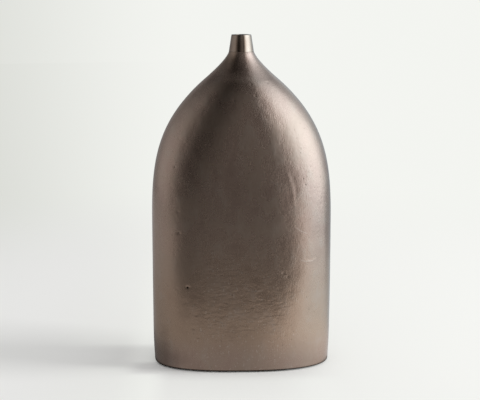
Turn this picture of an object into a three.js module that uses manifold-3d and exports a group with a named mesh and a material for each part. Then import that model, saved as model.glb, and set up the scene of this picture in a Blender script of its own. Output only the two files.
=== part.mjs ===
// A flat bottle vase in bronzed cast aluminium, with straight sides, ogee shoulders and a slim neck.
//
// The body is two thin castings that meet on a parting plane across the vase's depth. The front half
// carries a tongue along its parting edge, and the rear half a rebate that takes it. A turned spout stands
// on the throat with its spigot in a bored socket. A plate is let into the foot from below, against a
// flange cast inside the shells, and four felt pads under the plate carry the vase.
//
// Sizes are in millimetres. +Z is up, +X runs along the vase's width and -Y is its front. The origin is on
// the surface that the vase stands on, under the middle of the foot.

import * as THREE from "three";
import { mergeVertices } from "three/addons/utils/BufferGeometryUtils.js";
import Module from "manifold-3d";

// Body.
const vaseHeight = 432;
const bodyWidth = 235;
const bodyDepth = 118;
const castWall = 4;
const trunkDraft = 0.6; // how far the straight side draws in on its way up to the shoulder

// Section. Its fullness is the exponent of the oval, where 2 is an ellipse and more is squarer.
const footFullness = 2.5;
const bodyFullness = 3.3;
const roundFullness = 2;
const fullBottomZ = 132; // the body is fullest from here
const fullTopZ = 150; // to here
const roundZ = 352; // and an ellipse from here up

// Shoulders. Each outline rises straight, bends in to a turn and sweeps out again into the neck.
const shoulderHeight = 194; // from the end of the straight side to the turn, seen from the front
const sideShoulderHeight = 220; // the same, seen from the side
const throatHeight = 33.5; // from the turn to the neck's joint
const turnHalfWidth = 46.4;
const turnHalfDepth = 31;
const turnLean = 49.4; // degrees from upright at the turn, seen from the front
const sideTurnLean = 36;
const shoulderPull = 73; // how long the curve keeps close to the straight side
const sideShoulderPull = 60;
const throatPull = 36.6; // how far the slope at the turn carries on towards the neck
const sideThroatPull = 27;
const neckPull = 1;

// Foot.
const footTuck = 1.4; // how far the sides draw in at the foot
const footTuckHeight = 45;
const footEdgeRadius = 2.5;
const footRimWall = 3.4; // the rim of the shells that stands round the base plate
const flangeThickness = 4;
const flangeReach = 9; // how far the flange stands in from the shell's inner wall

// Parting joint.
const tongueHeight = 3;
const tongueRoot = 2; // how deep the tongue is rooted in the front half
const tongueTopDrop = 12; // from the neck's socket down to the tongue's end
const tongueFootGap = 6; // from the flange up to the tongue's other end

// Neck.
const neckHeight = 21.5;
const boreRadius = 9.5;
const spigotWall = 2.7;
const socketLand = 3.5; // the ring of the throat round its socket, which the spout's shoulder sits on
const rimWall = 3.2;
const lipRadius = 1.2;
const boreLipRadius = 0.8;
const spigotLength = 12;
const spigotChamfer = 1;
const socketRelief = 2; // how much deeper the socket is bored than the spigot reaches

// Base plate and felt pads.
const plateThickness = 3;
const plateRecess = 1;
const padRadius = 11;
const padThickness = 2.5;
const padEdge = 0.4;
const padMarginX = 32; // from the plate's edge to a pad's centre
const padMarginY = 27;

const fitClearance = 0.3;

// Faceting.
const ovalSegments = 72;
const roundSegments = 48;
const curveSamples = 120;
const trunkRings = 4; // between the tuck at the foot and the shoulders
const shoulderRings = 20;
const throatRings = 9;
const tuckRings = 3;
const edgeRings = 3;
const cavityShare = 0.6; // the inside has this share of the outside's shoulder rings

// Levels, from the standing surface up.
const footZ = padThickness - plateRecess;
const plateTopZ = padThickness + plateThickness;
const flangeTopZ = plateTopZ + flangeThickness;
const neckJointZ = vaseHeight - neckHeight;
const turnZ = neckJointZ - throatHeight;
const socketFootZ = neckJointZ - spigotLength - socketRelief;
const tongueTopZ = socketFootZ - tongueTopDrop;
const tongueFootZ = flangeTopZ + tongueFootGap;

// Radii of the neck, from the bore outwards.
const spigotRadius = boreRadius + spigotWall;
const socketRadius = spigotRadius + fitClearance;
const neckFootRadius = socketRadius + socketLand;
const rimRadius = boreRadius + rimWall;

const beyond = 10; // how far a cutting solid runs past what it cuts
const weldDistance = 1e-4; // vertices closer than this are one

const wasm = await Module();
wasm.setup();

const bronze = new THREE.MeshStandardMaterial({ color: 0x7d6d60, roughness: 0.42, metalness: 1 });
const polishedBronze = new THREE.MeshStandardMaterial({ color: 0x8a7768, roughness: 0.22, metalness: 1 });
const rawCasting = new THREE.MeshStandardMaterial({ color: 0x8f8b86, roughness: 0.6, metalness: 1 });
const felt = new THREE.MeshStandardMaterial({ color: 0x2a2725, roughness: 1, metalness: 0 });

// Turns a closed three.js geometry into a solid.
function solidFrom(geometry) {
  const bare = geometry.index ? geometry.toNonIndexed() : geometry.clone();
  bare.deleteAttribute("normal");
  bare.deleteAttribute("uv");
  const merged = mergeVertices(bare, weldDistance);
  const corners = merged.index.array;
  const triangles = [];
  for (let i = 0; i < corners.length; i += 3) {
    const [a, b, c] = [corners[i], corners[i + 1], corners[i + 2]];
    if (a !== b && b !== c && c !== a) triangles.push(a, b, c);
  }
  return new wasm.Manifold(
    new wasm.Mesh({
      numProp: 3,
      vertProperties: merged.attributes.position.array,
      triVerts: new Uint32Array(triangles),
    }),
  );
}

// Turns a solid back into a three.js geometry.
function geometryFrom(solid) {
  const mesh = solid.getMesh();
  const geometry = new THREE.BufferGeometry();
  geometry.setAttribute("position", new THREE.BufferAttribute(new Float32Array(mesh.vertProperties), 3));
  geometry.setIndex(new THREE.BufferAttribute(new Uint32Array(mesh.triVerts), 1));
  geometry.computeVertexNormals();
  return geometry;
}

// The body's edge seen from one side: half the body's size against height, with height always rising.
class Outline {
  constructor(points) {
    this.points = points;
  }

  halfAt(z) {
    const next = this.points.findIndex((point) => point.y >= z);
    if (next === 0) return this.points[0].x;
    if (next < 0) return this.points.at(-1).x;
    const [below, above] = [this.points[next - 1], this.points[next]];
    const share = (z - below.y) / (above.y - below.y);
    return THREE.MathUtils.lerp(below.x, above.x, share);
  }

  // The outline of a surface that lies this far inside this one.
  inset(distance) {
    const moved = this.points.map((point, i) => {
      const before = this.points[Math.max(i - 1, 0)];
      const after = this.points[Math.min(i + 1, this.points.length - 1)];
      const along = after.clone().sub(before).normalize();
      return new THREE.Vector2(point.x - distance * along.y, point.y + distance * along.x);
    });
    const rising = [moved[0]];
    for (const point of moved) if (point.y > rising.at(-1).y) rising.push(point);
    return new Outline(rising);
  }
}

// One of the body's two outlines, from the foot's rounded edge up to the neck's joint.
function bodyOutline({ half, shoulderStart, turnHalf, lean, startPull, turnPull }) {
  const footHalf = half - footTuck;
  const trunkHalf = half - trunkDraft;
  const slope = THREE.MathUtils.degToRad(lean);
  const turn = new THREE.Vector2(turnHalf, turnZ);
  const inwards = new THREE.Vector2(-Math.sin(slope), Math.cos(slope));
  const corner = new THREE.Vector2(trunkHalf, turnZ - (trunkHalf - turnHalf) / Math.tan(slope));
  const joint = new THREE.Vector2(neckFootRadius, neckJointZ);
  const neckTaper = new THREE.Vector2(rimRadius - neckFootRadius, neckHeight).normalize();
  const edge = new THREE.EllipseCurve(
    footHalf - footEdgeRadius,
    footZ + footEdgeRadius,
    footEdgeRadius,
    footEdgeRadius,
    -Math.PI / 2,
    0,
  );
  const tuck = new THREE.QuadraticBezierCurve(
    new THREE.Vector2(footHalf, footZ + footEdgeRadius),
    new THREE.Vector2(half, footZ + footTuckHeight / 2),
    new THREE.Vector2(half, footZ + footTuckHeight),
  );
  const shoulder = new THREE.CubicBezierCurve(
    new THREE.Vector2(trunkHalf, shoulderStart),
    new THREE.Vector2(trunkHalf, shoulderStart + startPull),
    corner,
    turn,
  );
  const throat = new THREE.CubicBezierCurve(
    turn,
    turn.clone().addScaledVector(inwards, turnPull),
    joint.clone().addScaledVector(neckTaper, -neckPull),
    joint,
  );
  const stretches = [edge, tuck, shoulder, throat].map((curve) => curve.getPoints(curveSamples));
  return new Outline(stretches.flat());
}

const widthOutline = bodyOutline({
  half: bodyWidth / 2,
  shoulderStart: turnZ - shoulderHeight,
  turnHalf: turnHalfWidth,
  lean: turnLean,
  startPull: shoulderPull,
  turnPull: throatPull,
});
const depthOutline = bodyOutline({
  half: bodyDepth / 2,
  shoulderStart: turnZ - sideShoulderHeight,
  turnHalf: turnHalfDepth,
  lean: sideTurnLean,
  startPull: sideShoulderPull,
  turnPull: sideThroatPull,
});

// The section is an oval at the foot, gets squarer up the trunk and turns into an ellipse at the shoulders.
function fullnessAt(z) {
  const squarer = THREE.MathUtils.smoothstep(z, flangeTopZ, fullBottomZ);
  const rounder = THREE.MathUtils.smoothstep(z, fullTopZ, roundZ);
  return footFullness + (bodyFullness - footFullness) * squarer + (roundFullness - bodyFullness) * rounder;
}

// A signed power, in which what is only rounding stays zero.
function power(value, exponent) {
  return Math.abs(value) < 1e-12 ? 0 : Math.sign(value) * Math.abs(value) ** exponent;
}

// A point of the oval section, from the cosine and sine of its angle.
function ovalPoint(halfWidth, halfDepth, fullness, cosine, sine) {
  return [halfWidth * power(cosine, 2 / fullness), halfDepth * power(sine, 2 / fullness)];
}

// The body's surface, or one that lies inset inside it, as a solid between the heights given. The width
// outline is revolved, and each ring is then drawn into the oval section at its height.
function ovalSolid(heights, inset = 0) {
  const width = inset ? widthOutline.inset(inset) : widthOutline;
  const depth = inset ? depthOutline.inset(inset) : depthOutline;
  const rings = heights.map((z) => ({ z, halfWidth: width.halfAt(z), halfDepth: depth.halfAt(z) }));
  rings.unshift({ z: heights[0], halfWidth: 0, halfDepth: 0 });
  rings.push({ z: heights.at(-1), halfWidth: 0, halfDepth: 0 });
  const profile = rings.map((ring) => new THREE.Vector2(ring.halfWidth, ring.z));
  const geometry = new THREE.LatheGeometry(profile, ovalSegments);
  const places = geometry.attributes.position;
  for (let i = 0; i < places.count; i++) {
    const ring = rings[i % rings.length];
    const turned = (Math.floor(i / rings.length) / ovalSegments) * 2 * Math.PI;
    const [x, y] = ovalPoint(
      ring.halfWidth,
      ring.halfDepth,
      fullnessAt(ring.z),
      Math.sin(turned),
      -Math.cos(turned),
    );
    places.setXYZ(i, x, y, ring.z);
  }
  return solidFrom(geometry);
}

// An upright plug with the foot's oval outline, drawn in by inset.
function footOval(inset, bottomZ, topZ) {
  const halfWidth = bodyWidth / 2 - footTuck - inset;
  const halfDepth = bodyDepth / 2 - footTuck - inset;
  const outline = new THREE.Shape(
    Array.from({ length: ovalSegments }, (_, i) => {
      const turned = (i / ovalSegments) * 2 * Math.PI;
      const [x, y] = ovalPoint(halfWidth, halfDepth, footFullness, Math.cos(turned), Math.sin(turned));
      return new THREE.Vector2(x, y);
    }),
  );
  const geometry = new THREE.ExtrudeGeometry(outline, { depth: topZ - bottomZ, bevelEnabled: false });
  return geometry.translate(0, 0, bottomZ);
}

// A block across the whole width between two depths and two heights.
function slab(frontY, backY, bottomZ, topZ) {
  const geometry = new THREE.BoxGeometry(bodyWidth + 2 * beyond, backY - frontY, topZ - bottomZ);
  return solidFrom(geometry.translate(0, (frontY + backY) / 2, (bottomZ + topZ) / 2));
}

function steps(from, to, count) {
  return Array.from({ length: count }, (_, i) => THREE.MathUtils.lerp(from, to, (i + 1) / count));
}

// The heights of the outside's rings, closer together where the outline bends.
function outsideHeights() {
  const shoulderStartZ = turnZ - shoulderHeight;
  const edge = steps(0, Math.PI / 2, edgeRings).map((angle) => footZ + footEdgeRadius * (1 - Math.cos(angle)));
  const tuck = steps(footZ + footEdgeRadius, footZ + footTuckHeight, tuckRings);
  const trunk = steps(footZ + footTuckHeight, shoulderStartZ, trunkRings);
  const shoulder = steps(shoulderStartZ, turnZ, shoulderRings);
  const throat = steps(turnZ, neckJointZ, throatRings);
  return [footZ, ...edge, ...tuck, ...trunk, ...shoulder, ...throat];
}

// The heights of the rings of a surface inside the body, from the flange up to the neck's socket.
function insideHeights() {
  const shoulderStartZ = turnZ - shoulderHeight;
  const trunk = steps(flangeTopZ, shoulderStartZ, trunkRings);
  const shoulder = steps(shoulderStartZ, turnZ, Math.round(shoulderRings * cavityShare));
  const throat = steps(turnZ, socketFootZ, Math.round(throatRings * cavityShare));
  return [flangeTopZ, ...trunk, ...shoulder, ...throat];
}

// The hollow body before it is parted: its wall, the foot's flange and plate seat, and the throat, which is
// cast thick above the cavity and bored out to the neck's socket.
function castBody() {
  const cavity = ovalSolid(insideHeights(), castWall);
  const flangeOpening = solidFrom(footOval(castWall + flangeReach, footZ, flangeTopZ + beyond));
  const plateSeat = solidFrom(footOval(footRimWall, footZ - beyond, plateTopZ));
  const socketLength = neckJointZ - socketFootZ + 2 * beyond;
  const socketGeometry = new THREE.CylinderGeometry(socketRadius, socketRadius, socketLength, roundSegments);
  socketGeometry.rotateX(Math.PI / 2).translate(0, 0, (socketFootZ + neckJointZ) / 2);
  return ovalSolid(outsideHeights())
    .subtract(cavity)
    .subtract(flangeOpening)
    .subtract(plateSeat)
    .subtract(solidFrom(socketGeometry));
}

const body = castBody();
const middleInset = castWall / 2;

// The front casting: the body in front of the parting plane, with the tongue along its inner edge.
function frontShell() {
  const half = body.intersect(slab(-bodyDepth, 0, footZ - beyond, vaseHeight));
  const tongueOutside = ovalSolid(insideHeights(), middleInset + fitClearance);
  const tongue = tongueOutside
    .subtract(ovalSolid(insideHeights(), castWall))
    .intersect(slab(-tongueRoot, tongueHeight, tongueFootZ, tongueTopZ));
  return geometryFrom(half.add(tongue));
}

// The rear casting: the body behind the parting plane, with the rebate that takes the tongue.
function rearShell() {
  const half = body.intersect(slab(0, bodyDepth, footZ - beyond, vaseHeight));
  const rebate = ovalSolid(insideHeights(), middleInset).intersect(
    slab(-tongueRoot, tongueHeight + fitClearance, tongueFootZ - fitClearance, tongueTopZ + fitClearance),
  );
  return geometryFrom(half.subtract(rebate));
}

// The spout's profile turned about the neck's axis: spigot, seating shoulder, taper and rounded lip.
function neckSpout() {
  const spigotFootZ = neckJointZ - spigotLength;
  const taper = (neckFootRadius - rimRadius) / neckHeight;
  const lipZ = vaseHeight - lipRadius;
  const profile = new THREE.Path();
  profile.moveTo(boreRadius, spigotFootZ);
  profile.lineTo(spigotRadius - spigotChamfer, spigotFootZ);
  profile.lineTo(spigotRadius, spigotFootZ + spigotChamfer);
  profile.lineTo(spigotRadius, neckJointZ);
  profile.lineTo(neckFootRadius, neckJointZ);
  profile.lineTo(rimRadius + taper * lipRadius, lipZ);
  profile.quadraticCurveTo(rimRadius, vaseHeight, rimRadius - lipRadius, vaseHeight);
  profile.lineTo(boreRadius + boreLipRadius, vaseHeight);
  profile.quadraticCurveTo(boreRadius, vaseHeight, boreRadius, vaseHeight - boreLipRadius);
  profile.lineTo(boreRadius, spigotFootZ);
  const geometry = new THREE.LatheGeometry(profile.getPoints(edgeRings), roundSegments);
  return geometry.rotateX(Math.PI / 2);
}

function basePlate() {
  return footOval(footRimWall + fitClearance, padThickness, plateTopZ);
}

// A felt disc with its edges softened, lying on the standing surface.
function feltPad() {
  const profile = [
    new THREE.Vector2(0, 0),
    new THREE.Vector2(padRadius - padEdge, 0),
    new THREE.Vector2(padRadius, padEdge),
    new THREE.Vector2(padRadius, padThickness - padEdge),
    new THREE.Vector2(padRadius - padEdge, padThickness),
    new THREE.Vector2(0, padThickness),
  ];
  return new THREE.LatheGeometry(profile, roundSegments / 2).rotateX(Math.PI / 2);
}

function named(name, geometry, material) {
  const mesh = new THREE.Mesh(geometry, material);
  mesh.name = name;
  return mesh;
}

const vase = new THREE.Group();
vase.name = "vase";
vase.add(named("front_shell", frontShell(), bronze));
vase.add(named("rear_shell", rearShell(), bronze));
vase.add(named("neck_spout", neckSpout(), polishedBronze));
vase.add(named("base_plate", basePlate(), rawCasting));

const padX = bodyWidth / 2 - footTuck - footRimWall - fitClearance - padMarginX;
const padY = bodyDepth / 2 - footTuck - footRimWall - fitClearance - padMarginY;
for (const [row, y] of [["front", -padY], ["rear", padY]]) {
  for (const [side, x] of [["left", -padX], ["right", padX]]) {
    const pad = named(`felt_pad_${row}_${side}`, feltPad(), felt);
    pad.position.set(x, y, 0);
    vase.add(pad);
  }
}

export default vase;
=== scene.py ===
"""A flat bottle vase in bronzed cast aluminium, set up for a studio picture.

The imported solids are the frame, and every piece of the vase is modelled again here with a fine surface: the
two cast halves of the body, the turned spout, the base plate and the felt pads. Lengths are in metres, +Z is
up, the vase faces -Y, and the origin is on the floor under the middle of its foot.
"""

import logging
import math
import random
from bisect import bisect_right
from collections.abc import Iterable, Sequence
from dataclasses import dataclass, field
from enum import Enum

import bmesh
import bpy
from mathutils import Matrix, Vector, noise
from mathutils.geometry import interpolate_bezier
from mathutils.kdtree import KDTree


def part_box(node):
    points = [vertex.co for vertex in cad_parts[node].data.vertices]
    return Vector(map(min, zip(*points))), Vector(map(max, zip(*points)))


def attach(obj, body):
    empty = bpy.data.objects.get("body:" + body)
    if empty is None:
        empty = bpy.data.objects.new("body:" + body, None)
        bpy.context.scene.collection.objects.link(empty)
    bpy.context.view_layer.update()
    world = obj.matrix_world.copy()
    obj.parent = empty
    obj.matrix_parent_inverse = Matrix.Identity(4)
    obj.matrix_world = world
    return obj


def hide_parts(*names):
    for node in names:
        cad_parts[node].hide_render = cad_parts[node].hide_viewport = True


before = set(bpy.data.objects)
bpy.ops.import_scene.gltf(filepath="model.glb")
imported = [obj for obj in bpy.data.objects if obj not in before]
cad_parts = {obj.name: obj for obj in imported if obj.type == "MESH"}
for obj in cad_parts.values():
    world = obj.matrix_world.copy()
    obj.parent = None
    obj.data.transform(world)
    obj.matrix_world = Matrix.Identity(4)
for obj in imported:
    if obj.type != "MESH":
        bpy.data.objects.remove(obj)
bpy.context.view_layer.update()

MM = 0.001
BODY = "root"

SMOOTH_ANGLE = math.radians(35)
SHARP_ANGLE = math.radians(60)
MERGE_DISTANCE = 1e-7
ON_PARTING = 1e-6
PIT_REACH = 2.5
PIT_STEEPNESS = 1.6

log = logging.getLogger("vase")

Colour = tuple[float, float, float, float]
# A span holds where something starts and where it is full, or a least and a largest size. A name that ends in
# squared marks squares of distances.
Span = tuple[float, float]
# A band holds where something starts, is full, starts to fade and is gone.
Band = tuple[float, float, float, float]
# A curve holds places in order, each with its value.
Curve = tuple[tuple[float, float], ...]


def smoothstep(value: float, low: float, high: float) -> float:
    """Rise smoothly from 0 at low to 1 at high.

    Args:
        value: The number to place between the limits.
        low: Where the rise starts.
        high: Where the rise ends.

    Returns:
        A share from 0 to 1.
    """
    share = min(max((value - low) / (high - low), 0.0), 1.0)
    return share * share * (3.0 - 2.0 * share)


def steps(start: float, end: float, count: int) -> list[float]:
    """Divide a stretch evenly.

    Args:
        start: The first value.
        end: The last value.
        count: How many equal steps lie between them.

    Returns:
        count + 1 values from start to end.
    """
    return [start + (end - start) * i / count for i in range(count + 1)]


class Value:
    """A number that varies over a surface. Maths on it adds Math nodes to its graph."""

    def __init__(self, graph: "Graph", socket: bpy.types.NodeSocket) -> None:
        """Wrap an output socket of a graph."""
        self.graph = graph
        self.socket = socket

    def _maths(self, operation: str, first: "Value | float", second: "Value | float") -> "Value":
        """Add one Math node.

        Args:
            operation: The Math node's operation.
            first: Its first number.
            second: Its second number.

        Returns:
            The node's result.
        """
        node = self.graph.add("ShaderNodeMath", {"operation": operation}, {0: first, 1: second})
        return Value(self.graph, node.outputs[0])

    def __add__(self, other: "Value | float") -> "Value":
        """Add a number or another value."""
        return self._maths("ADD", self, other)

    __radd__ = __add__

    def __sub__(self, other: "Value | float") -> "Value":
        """Subtract a number or another value."""
        return self._maths("SUBTRACT", self, other)

    def __rsub__(self, other: "Value | float") -> "Value":
        """Subtract this value from a number."""
        return self._maths("SUBTRACT", other, self)

    def __mul__(self, other: "Value | float") -> "Value":
        """Multiply by a number or another value."""
        return self._maths("MULTIPLY", self, other)

    __rmul__ = __mul__

    def __truediv__(self, other: "Value | float") -> "Value":
        """Divide by a number or another value."""
        return self._maths("DIVIDE", self, other)

    def __rtruediv__(self, other: "Value | float") -> "Value":
        """Divide a number by this value."""
        return self._maths("DIVIDE", other, self)

    def __pow__(self, other: "Value | float") -> "Value":
        """Raise to a power."""
        return self._maths("POWER", self, other)

    def turned_from(self, other: "Value") -> "Value":
        """Give the angle whose tangent is this value over another, all round the circle."""
        return self._maths("ARCTAN2", self, other)

    def at_least(self, low: float) -> "Value":
        """Keep the value from falling below a number."""
        return self._maths("MAXIMUM", self, low)

    def between(self, low: float, high: float) -> "Value":
        """Rise smoothly from 0 at low to 1 at high.

        Args:
            low: Where the rise starts.
            high: Where the rise ends.

        Returns:
            A share from 0 to 1.
        """
        settings = {"interpolation_type": "SMOOTHSTEP"}
        sockets = {"Value": self, "From Min": low, "From Max": high}
        node = self.graph.add("ShaderNodeMapRange", settings, sockets)
        return Value(self.graph, node.outputs["Result"])

    def fading(self, low: float, high: float) -> "Value":
        """Fall smoothly from 1 at low to 0 at high."""
        return 1.0 - self.between(low, high)

    def band(self, start: float, full: float, fading: float, gone: float) -> "Value":
        """Rise smoothly from 0 at start to 1 at full, and fall from 1 at fading to 0 at gone."""
        return self.between(start, full) * self.fading(fading, gone)

    def squared(self) -> "Value":
        """Multiply the value by itself."""
        return self * self

    def size(self) -> "Value":
        """Give the value without its sign."""
        return self.squared() ** 0.5

    def distance_with(self, other: "Value") -> "Value":
        """Give the length of the flat vector that this value and another make up."""
        return (self.squared() + other.squared()) ** 0.5


class Graph:
    """The node tree of a material or of the world."""

    def __init__(self, tree: bpy.types.NodeTree) -> None:
        """Empty a tree and take it over."""
        tree.nodes.clear()
        self.tree = tree

    def add(
        self, kind: str, settings: dict | None = None, sockets: dict | None = None
    ) -> bpy.types.Node:
        """Add a node.

        Args:
            kind: The node's type.
            settings: Its properties, which are set first. The key stops holds a colour ramp's stops.
            sockets: Inputs by name, identifier or number, each with a value or with what links to it.

        Returns:
            The node.
        """
        node = self.tree.nodes.new(kind)
        for key, setting in (settings or {}).items():
            if key == "stops":
                self._set_stops(node.color_ramp, setting)
            else:
                setattr(node, key, setting)
        for key, given in (sockets or {}).items():
            socket = self._input(node, key)
            if isinstance(given, Value):
                given = given.socket
            if isinstance(given, bpy.types.NodeSocket):
                self.tree.links.new(given, socket)
            else:
                socket.default_value = given
        return node

    @staticmethod
    def _input(node: bpy.types.Node, key: str | int) -> bpy.types.NodeSocket:
        """Find an input socket by its number, identifier or name."""
        if isinstance(key, int):
            return node.inputs[key]
        return next((s for s in node.inputs if s.identifier == key), None) or node.inputs[key]

    @staticmethod
    def _set_stops(ramp: bpy.types.ColorRamp, stops: Sequence[tuple[float, Colour]]) -> None:
        """Set a colour ramp's stops.

        Args:
            ramp: The ramp, which has two stops when it is new.
            stops: Places from 0 to 1, in order, each with its colour.
        """
        while len(ramp.elements) < len(stops):
            ramp.elements.new(1.0)
        for element, (place, colour) in zip(ramp.elements, stops):
            element.position = place
            element.color = colour

    def object_place(self, scale: Sequence[float] = (1.0, 1.0, 1.0)) -> bpy.types.NodeSocket:
        """Give the place on the object, stretched along its axes.

        Args:
            scale: What each coordinate is multiplied by.

        Returns:
            A vector socket.
        """
        place = self.add("ShaderNodeTexCoord").outputs["Object"]
        return self.add("ShaderNodeMapping", sockets={"Vector": place, "Scale": scale}).outputs["Vector"]

    def axes(self, vector: bpy.types.NodeSocket | None = None) -> tuple[Value, Value, Value]:
        """Take a vector apart.

        Args:
            vector: The vector, or None for the place on the object.

        Returns:
            Its X, Y and Z.
        """
        parts = self.add("ShaderNodeSeparateXYZ", sockets={"Vector": vector or self.object_place()})
        return tuple(Value(self, parts.outputs[axis]) for axis in "XYZ")

    def noise(
        self,
        size: float,
        detail: float = 2.0,
        stretch: Sequence[float] = (1.0, 1.0, 1.0),
        warp: float = 0.0,
    ) -> Value:
        """Add a soft random pattern.

        Args:
            size: The size of its patches.
            detail: How many finer layers lie over the first.
            stretch: How many times longer the patches are along X, Y and Z.
            warp: How strongly the pattern is bent.

        Returns:
            A number around 0.5.
        """
        place = self.object_place(tuple(1.0 / (size * share) for share in stretch))
        sockets = {"Vector": place, "Scale": 1.0, "Detail": detail, "Distortion": warp}
        return Value(self, self.add("ShaderNodeTexNoise", sockets=sockets).outputs["Fac"])

    def profile(self, share: Value, points: Sequence[tuple[float, float]]) -> Value:
        """Read a value off a line drawn through points.

        Args:
            share: Where to read, from 0 to 1.
            points: Places from 0 to 1, in order, each with its value from 0 to 1.

        Returns:
            The value there.
        """
        stops = [(place, (value, value, value, 1.0)) for place, value in points]
        node = self.add("ShaderNodeValToRGB", {"stops": stops}, {0: share})
        return Value(self, node.outputs["Color"])

    def mix(self, share: Value | float, first: object, second: object) -> bpy.types.NodeSocket:
        """Mix two colours.

        Args:
            share: How much of the second colour is taken.
            first: A colour or a colour socket.
            second: Another.

        Returns:
            The mixed colour's socket.
        """
        sockets = {"Factor_Float": share, "A_Color": first, "B_Color": second}
        node = self.add("ShaderNodeMix", {"data_type": "RGBA", "clamp_factor": True}, sockets)
        return next(s for s in node.outputs if s.identifier == "Result_Color")

    def bump(self, height: Value, depth: float, below: object = None) -> bpy.types.NodeSocket:
        """Turn a height into a bumped normal.

        Args:
            height: The height, from 0 to 1.
            depth: How far apart heights 0 and 1 lie.
            below: The normal of a coarser bump that this one lies on.

        Returns:
            The normal's socket.
        """
        sockets = {"Height": height, "Distance": depth}
        if below is not None:
            sockets["Normal"] = below
        return self.add("ShaderNodeBump", sockets=sockets).outputs["Normal"]

    def shown_to(self, ray: str, chosen: bpy.types.Node, others: bpy.types.Node) -> bpy.types.Node:
        """Show one shader to one kind of ray, and another to the rest.

        Args:
            ray: The Light Path node's output for that kind.
            chosen: The shader for that kind.
            others: The shader for all other rays.

        Returns:
            The shader that holds both.
        """
        kind = self.add("ShaderNodeLightPath").outputs[ray]
        sockets = {0: kind, 1: others.outputs[0], 2: chosen.outputs[0]}
        return self.add("ShaderNodeMixShader", sockets=sockets)


class Finish:
    """A finish of one of the vase's pieces."""

    name: str

    def material(self) -> bpy.types.Material:
        """Build the finish's material."""
        material = bpy.data.materials.new(self.name)
        material.use_nodes = True
        graph = Graph(material.node_tree)
        shader = graph.add("ShaderNodeBsdfPrincipled", sockets=self._sockets(graph))
        graph.add("ShaderNodeOutputMaterial", sockets={"Surface": shader.outputs[0]})
        return material

    def _sockets(self, graph: Graph) -> dict[str, object]:
        """Give the shader's sockets, which each finish fills in its own way."""
        raise NotImplementedError


@dataclass(frozen=True)
class Scratch:
    """A straight scratch on the front, down to the bare metal. Its sizes are in millimetres."""

    x: float
    z: float
    end_x: float
    end_z: float
    radius: float


@dataclass(frozen=True)
class Pore:
    """A pore on the front that dirt has filled. Its sizes are in millimetres."""

    x: float
    z: float
    radius: float


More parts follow.
